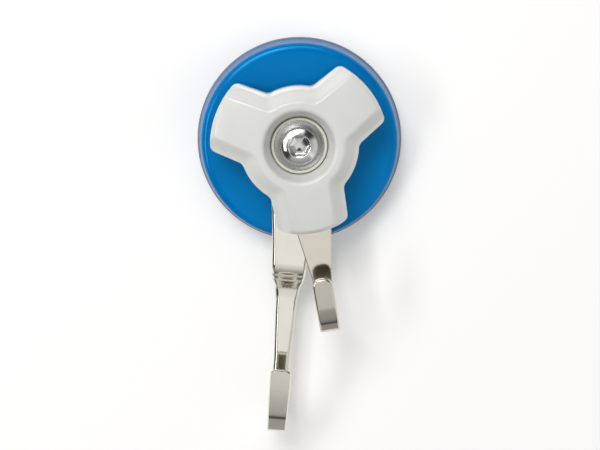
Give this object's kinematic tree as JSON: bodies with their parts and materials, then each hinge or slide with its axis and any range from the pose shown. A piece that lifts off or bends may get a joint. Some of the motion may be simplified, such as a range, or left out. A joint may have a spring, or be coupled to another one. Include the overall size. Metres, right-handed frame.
{
  "type": "suction hook",
  "caption": "Round suction base with a three-lobed twist-lock knob and bent flat-steel hooks that swing on its axis, for hanging things on a smooth wall.",
  "frame": {"origin": "centre of the pad's flat sealing face, on the axis of the knob and the hooks", "axes": "+Z out of the wall along the knob's axis, +Y up the wall and away from the hooks, +X to the right as seen from the front"},
  "size_m": [0.063, 0.1212, 0.0295],
  "materials": {
    "housing_blue": "glossy moulded",
    "knob_white": "satin moulded",
    "pad_soft": "soft and clear grey",
    "hook_nickel": "bright nickel plate",
    "screw_plate": "bright zinc plate",
    "plain_steel": "plain spring steel",
    "stem_brass": "turned",
    "nylon": "natural nylon",
    "sleeve_plastic": "natural acetal",
    "cam_plastic": "black acetal"
  },
  "bodies": {
    "base": {"housing": "housing_blue", "suction_pad": "pad_soft", "spring_seat": "plain_steel", "return_spring": "plain_steel", "cam_seat": "cam_plastic", "rear_washer": "cam_plastic", "hook_spacer": "cam_plastic", "wave_washer": "plain_steel", "retaining_ring": "plain_steel"},
    "lifter": {"lift_plate": "plain_steel", "lift_stem": "stem_brass", "cap_screw": "screw_plate", "screw_washer": "screw_plate", "thrust_washer": "nylon"},
    "knob": {"knob": "knob_white", "cam_sleeve": "sleeve_plastic"},
    "long_hook": {"long_hook": "hook_nickel"},
    "short_hook": {"short_hook": "hook_nickel"}
  },
  "joints": [
    {"name": "lifter_slide", "type": "slide", "parent": "base", "child": "lifter", "axis": [0, 0, 1], "range_m": [0, 0.0018], "deforming": ["return_spring"]},
    {"name": "knob_turn", "type": "hinge", "parent": "lifter", "child": "knob", "pos_m": [0, 0, 0.018], "axis": [0, 0, -1], "range_deg": [0, 90]},
    {"name": "long_hook_swing", "type": "hinge", "parent": "base", "child": "long_hook", "pos_m": [0, 0, 0.01045], "axis": [0, 0, 1], "continuous": true},
    {"name": "short_hook_swing", "type": "hinge", "parent": "base", "child": "short_hook", "pos_m": [0, 0, 0.01295], "axis": [0, 0, 1], "continuous": true}
  ],
  "couplings": [
    {"joint": "knob_turn", "follows": "lifter_slide", "rad_per_m": 872.66}
  ]
}
